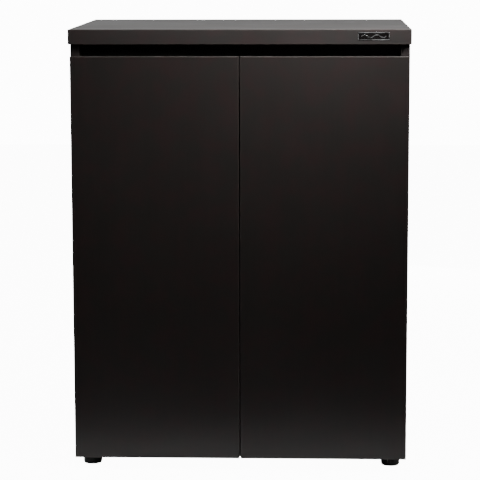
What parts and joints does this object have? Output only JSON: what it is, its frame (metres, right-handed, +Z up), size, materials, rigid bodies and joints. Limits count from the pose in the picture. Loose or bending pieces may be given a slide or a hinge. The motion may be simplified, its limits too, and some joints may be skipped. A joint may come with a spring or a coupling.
{
  "type": "aquarium stand cabinet",
  "caption": "Dark flat-pack aquarium stand: a flat top board over a cabinet with two full-overlay doors, a finger gap, an inner shelf and levelling feet.",
  "frame": {"origin": "centre of the bounding box's underside, on the floor", "axes": "+X to the right seen from the front, +Y from the doors to the back, +Z up"},
  "size_m": [0.6, 0.45, 0.788],
  "materials": {
    "dark_board": "satin foil on particle board",
    "door_board": "satin foil on particle board",
    "black_plastic": "fine moulded",
    "foot_plastic": "moulded",
    "badge_black": "gloss",
    "badge_silver": "bright",
    "beech": "fluted, unfinished",
    "yellow_zinc": "plated",
    "die_cast": "cast, tumbled",
    "nickel": "satin plated",
    "bumper_clear": "soft and clear",
    "zinc_steel": "zinc plated"
  },
  "bodies": {
    "carcass": {"top_board": "dark_board", "left_side_panel": "dark_board", "right_side_panel": "dark_board", "bottom_panel": "dark_board", "back_panel": "dark_board", "front_rail": "dark_board", "shelf": "dark_board", "shelf_pins": "zinc_steel", "cam_locks": "die_cast", "cam_bolts": "zinc_steel", "wood_dowels": "beech", "left_hose_grommet": "black_plastic", "right_hose_grommet": "black_plastic", "badge_plate": "badge_black", "badge_emblem": "badge_silver", "foot_inserts": "yellow_zinc", "left_upper_hinge_arm": "nickel", "left_lower_hinge_arm": "nickel", "right_upper_hinge_arm": "nickel", "right_lower_hinge_arm": "nickel", "left_upper_hinge_plate": "nickel", "left_lower_hinge_plate": "nickel", "right_upper_hinge_plate": "nickel", "right_lower_hinge_plate": "nickel", "hinge_plate_screws": "zinc_steel", "hinge_arm_screws": "zinc_steel"},
    "left_door": {"left_door": "door_board", "left_upper_hinge_cup": "nickel", "left_lower_hinge_cup": "nickel", "left_hinge_pins": "zinc_steel", "left_cup_screws": "zinc_steel", "left_door_bumpers": "bumper_clear"},
    "right_door": {"right_door": "door_board", "right_upper_hinge_cup": "nickel", "right_lower_hinge_cup": "nickel", "right_hinge_pins": "zinc_steel", "right_cup_screws": "zinc_steel", "right_door_bumpers": "bumper_clear"},
    "front_left_foot": {"front_left_foot": "foot_plastic", "front_left_stud": "zinc_steel"},
    "front_right_foot": {"front_right_foot": "foot_plastic", "front_right_stud": "zinc_steel"},
    "rear_left_foot": {"rear_left_foot": "foot_plastic", "rear_left_stud": "zinc_steel"},
    "rear_right_foot": {"rear_right_foot": "foot_plastic", "rear_right_stud": "zinc_steel"}
  },
  "joints": [
    {"name": "left_door_hinge", "type": "hinge", "parent": "carcass", "child": "left_door", "pos_m": [-0.29, -0.2172, 0.381], "axis": [0, 0, -1], "range_deg": [0, 100]},
    {"name": "right_door_hinge", "type": "hinge", "parent": "carcass", "child": "right_door", "pos_m": [0.29, -0.2172, 0.381], "axis": [0, 0, 1], "range_deg": [0, 100]},
    {"name": "front_left_foot_screw", "type": "slide", "parent": "carcass", "child": "front_left_foot", "axis": [0, 0, 1], "range_m": [-0.006, 0.0025]},
    {"name": "front_right_foot_screw", "type": "slide", "parent": "carcass", "child": "front_right_foot", "axis": [0, 0, 1], "range_m": [-0.006, 0.0025]},
    {"name": "rear_left_foot_screw", "type": "slide", "parent": "carcass", "child": "rear_left_foot", "axis": [0, 0, 1], "range_m": [-0.006, 0.0025]},
    {"name": "rear_right_foot_screw", "type": "slide", "parent": "carcass", "child": "rear_right_foot", "axis": [0, 0, 1], "range_m": [-0.006, 0.0025]}
  ]
}
